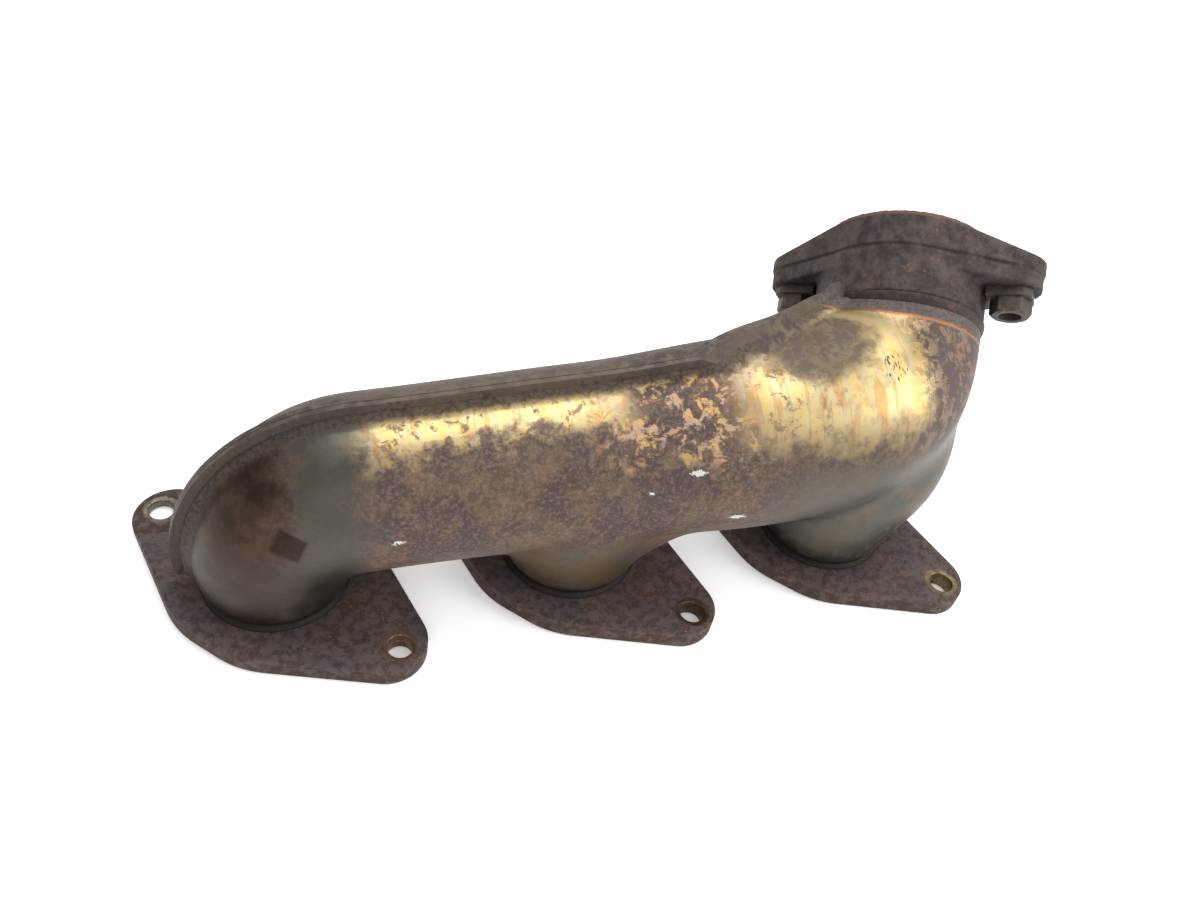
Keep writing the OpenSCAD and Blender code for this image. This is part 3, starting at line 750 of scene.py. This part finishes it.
def rusty_plate(name, holes, *objects):
    """Mild steel plate with a purple-brown skin of rust. Each hole is (x, y, rim colour)."""
    m = Recipe(name)
    z = m.axis("Z")
    patchy = m.noise(18, 6, 0.6)
    mottle = m.noise(3.2, 8, 0.72)
    fine = m.noise(0.8, 5, 0.7)
    color = m.mix(m.step(patchy, 0.40, 0.62), PLATE_PURPLE, PLATE_BROWN)
    color = m.mix(m.step(mottle, 0.44, 0.60), color, PLATE_DARK)
    orange = m.times(m.step(mottle, 0.57, 0.66), m.step(patchy, 0.48, 0.60))
    color = m.mix(m.times(orange, 0.75), color, PLATE_ORANGE)
    flecks = m.times(m.step(m.cells(2.6), 0.17, 0.09), m.step(m.noise(7, 4), 0.50, 0.60))
    color = m.mix(flecks, color, PLATE_FLECK)
    pits = m.step(m.cells(3.1, place=m.vector("ADD", m.place, (4.7, 2.1, 0.4))), 0.18, 0.10)
    color = m.mix(m.times(pits, 0.7), color, PLATE_PIT)
    edge_tint = m.times(m.step(z, PLATE_EDGE_TOP, PLATE_EDGE_LOW), m.step(mottle, 0.40, 0.55))
    color = m.mix(m.times(edge_tint, 0.8), color, PLATE_EDGE)
    worn = []
    for hole_x, hole_y, tint in holes:
        here = m.near((hole_x, hole_y, 0), RIM_IN, RIM_OUT, squeeze=(1, 1, 0),
                      wobble=m.math("MULTIPLY", m.math("SUBTRACT", mottle, 0.5), 1.6))
        here = m.times(here, m.step(mottle, 0.46, 0.64, 1, 0.35))
        color = m.mix(here, color, m.mix(m.step(fine, 0.40, 0.60), tint,
                                         tuple(0.62 * c for c in tint)))
        worn.append(here)
    bright = m.largest(*worn)
    height = m.math("ADD", mottle, m.math("MULTIPLY", pits, -0.35))
    normal = m.bump(fine, 0.35, 0.10, under=m.bump(height, 0.5, 0.35))
    m.finish(color, m.blend(bright, 0.25, 0.8), m.blend(bright, 0.72, 0.42), normal, *objects)


# Colours of the cast outlet
CAST_DARK, CAST_GREY, CAST_BROWN = (0.030, 0.022, 0.020), (0.066, 0.052, 0.048), (0.088, 0.066, 0.055)
CAST_RUST, CAST_PIT, CAST_SEAM = (0.20, 0.080, 0.030), (0.032, 0.024, 0.022), (0.012, 0.009, 0.008)
RIM_RUST, BARE_METAL = (0.14, 0.060, 0.040), (0.60, 0.58, 0.54)


def rough_casting(name, *objects):
    """The cast outlet, with its parting line, a rusty rim and one scratched lug."""
    m = Recipe(name)
    mottle = m.noise(6, 7, 0.7)
    fine = m.noise(1.0, 6, 0.72)
    patchy = m.noise(22, 4, 0.55)
    color = m.mix(m.step(mottle, 0.38, 0.62), CAST_DARK, CAST_GREY)
    color = m.mix(m.times(m.step(patchy, 0.52, 0.66), 0.6), color, CAST_BROWN)
    rust = m.times(m.step(m.noise(3.4, 5, 0.65), 0.60, 0.68), m.step(patchy, 0.40, 0.58))
    color = m.mix(m.times(rust, 0.8), color, CAST_RUST)
    color = m.mix(m.times(m.step(m.cells(2.2), 0.15, 0.08), 0.7), color, CAST_PIT)
    along = m.math("SUBTRACT", m.vector("DOT_PRODUCT", m.place, OUT_DIR), OUT_DIR.dot(OUT_POS))
    color = m.mix(m.times(m.step(along, 10.8, 12.2), m.step(fine, 0.35, 0.6, 0.5, 0.9)),
                  color, RIM_RUST)
    scratch = m.times(
        m.near((150, 28, 104), 7, 10), m.step(along, 1.5, 2.5), m.step(along, 9, 8),
        m.step(m.noise(1.6, 3, 0.6, place=m.stretched(5, 3, 0.7)), 0.60, 0.64))
    color = m.mix(scratch, color, BARE_METAL)
    from_parting = m.math("ABSOLUTE", m.math("ADD", along, m.math("MULTIPLY", fine, 0.8)))
    parting = m.times(m.step(from_parting, 0.9, 0.3), m.step(patchy, 0.36, 0.50))
    color = m.mix(m.times(parting, 0.8), color, CAST_SEAM)
    relief = m.math("SUBTRACT", mottle, m.math("MULTIPLY", parting, 0.5))
    normal = m.bump(fine, 0.7, 0.25, under=m.bump(relief, 0.6, 0.9))
    m.finish(color, 0.15, m.step(fine, 0.3, 0.7, 0.62, 0.85), normal, *objects)


def dark_scale(name, base, *objects):
    """Oxide scale of one base colour, with paler and rustier spots."""
    m = Recipe(name)
    mottle = m.noise(2.4, 6, 0.7)
    fine = m.noise(0.7, 5, 0.7)
    color = m.mix(m.step(mottle, 0.40, 0.62), base, tuple(1.7 * c for c in base))
    color = m.mix(m.times(m.step(m.noise(4, 5, 0.7), 0.56, 0.66), 0.7), color,
                  tuple(min(1, c * f) for c, f in zip(base, (3.4, 2.2, 1.4))))
    normal = m.bump(fine, 0.4, 0.12, under=m.bump(mottle, 0.4, 0.3))
    m.finish(color, 0.35, m.step(mottle, 0.3, 0.7, 0.50, 0.72), normal, *objects)


def dull_pipe(name, *objects):
    """The hidden pipes: sooty steel."""
    m = Recipe(name)
    soot = m.noise(14, 6, 0.65)
    fine = m.noise(1.1, 5, 0.7)
    color = m.mix(m.step(soot, 0.36, 0.64), (0.045, 0.038, 0.034), (0.15, 0.115, 0.085))
    color = m.mix(m.times(m.step(fine, 0.55, 0.66), 0.5), color, (0.22, 0.17, 0.12))
    normal = m.bump(fine, 0.25, 0.1)
    m.finish(color, 0.6, m.step(soot, 0.3, 0.7, 0.45, 0.65), normal, *objects)


def knitted_wire(name, *objects):
    """The rings of knitted wire that hold the pipes off the shell."""
    m = Recipe(name)
    rows = m.cells(1.1, place=m.stretched(1, 0.6, 0.6))
    color = m.mix(m.step(rows, 0.20, 0.45), (0.52, 0.50, 0.46), (0.10, 0.09, 0.08))
    m.finish(color, 0.8, 0.42, m.bump(rows, 0.7, 0.4), *objects)


# The worn ring round each hole: what metal shows in it
SILVER, COPPER = (0.17, 0.15, 0.12), (0.19, 0.115, 0.072)
BROWN, BRASS = (0.10, 0.062, 0.036), (0.20, 0.15, 0.08)
STUD_R, STUD_TURN = 107 / 2, math.radians(-43.5)
STUD_X, STUD_Y = STUD_R * math.cos(STUD_TURN), STUD_R * math.sin(STUD_TURN)
RIMS = {
    "front": (-PITCH, SILVER, COPPER),
    "middle": (0, BRASS, BROWN),
    "rear": (PITCH, SILVER, BRASS),
}

tinted_steel("tinted_steel", front_shell, back_shell)
for port, (port_x, far_tint, near_tint) in RIMS.items():
    rusty_plate("rusty_plate_" + port,
                ((port_x - STUD_X, -STUD_Y, far_tint), (port_x + STUD_X, STUD_Y, near_tint)),
                flanges[port])
rough_casting("rough_casting", outlet)
dark_scale("weld_scale", (0.028, 0.022, 0.019), outlet_weld)
# The foot welds sit under the legs' bulges: their near-black base is oxide scale with painted shade
dark_scale("foot_weld_scale_and_shade", (0.012, 0.009, 0.008), *welds)
dark_scale("nut_scale", (0.046, 0.037, 0.032), *nuts, *plates)
dull_pipe("dull_pipe", *[cad[port + "_inner_pipe"] for port in PORTS])
dark_scale("pipe_weld_scale", (0.070, 0.060, 0.055), *[cad[port + "_pipe_weld"] for port in PORTS])
knitted_wire("knitted_wire", cad["front_support_ring"], cad["middle_support_ring"])

# ---------------------------------------------------------------- floor, light and camera
# The floor glows a little and the tones are plain ones, so that it stays white round the part

deselect()
bpy.ops.mesh.primitive_plane_add(size=12, location=(0, 0, cad_low.z - 0.0002))
floor = bpy.context.object
floor.name = "floor"
paper = bpy.data.materials.new("pale_paper")
paper.use_nodes = True
for socket, value in (("Base Color", (0.95, 0.95, 0.95, 1)), ("Roughness", 0.9),
                      ("Emission Color", (1, 1, 1, 1)), ("Emission Strength", 0.25)):
    paper.node_tree.nodes["Principled BSDF"].inputs[socket].default_value = value
floor.data.materials.append(paper)

world = bpy.data.worlds.new("studio")
world.use_nodes = True
world.node_tree.nodes["Background"].inputs["Color"].default_value = (1, 1, 1, 1)
world.node_tree.nodes["Background"].inputs["Strength"].default_value = 0.75
bpy.context.scene.world = world


def softbox(name, place, target, size, power):
    light = bpy.data.lights.new(name, "AREA")
    light.shape = "RECTANGLE"
    light.size, light.size_y = size
    light.energy = power
    lamp = bpy.data.objects.new(name, light)
    bpy.context.scene.collection.objects.link(lamp)
    lamp.location = place
    lamp.rotation_euler = (Vector(target) - Vector(place)).to_track_quat("-Z", "Y").to_euler()


softbox("overhead", (0.15, 0.30, 1.1), (0.03, 0, 0.04), (1.1, 0.8), 12)
softbox("front_fill", (-0.4, -1.1, 0.7), (0, 0, 0.04), (0.8, 0.8), 3)
softbox("right_fill", (1.0, -0.5, 0.7), (0.08, 0, 0.05), (0.6, 0.8), 10)

CAMERA_AT = Vector((-99.78, -241.59, 310.6))
CAMERA_FORWARD = Vector((0.2859, 0.6617, -0.6932)).normalized()
CAMERA_RIGHT = Vector((0.956, -0.247, 0.1586)).normalized()
lens = bpy.data.cameras.new("camera")
lens.lens, lens.sensor_width = 31.5, 36
lens.clip_start, lens.clip_end = 0.01, 50
camera = bpy.data.objects.new("camera", lens)
bpy.context.scene.collection.objects.link(camera)
camera.matrix_world = (
    Matrix.Translation(CAMERA_AT * MM)
    @ Matrix((CAMERA_RIGHT, CAMERA_RIGHT.cross(CAMERA_FORWARD), -CAMERA_FORWARD))
    .transposed().to_4x4())
bpy.context.scene.camera = camera
bpy.context.scene.view_settings.view_transform = "Standard"
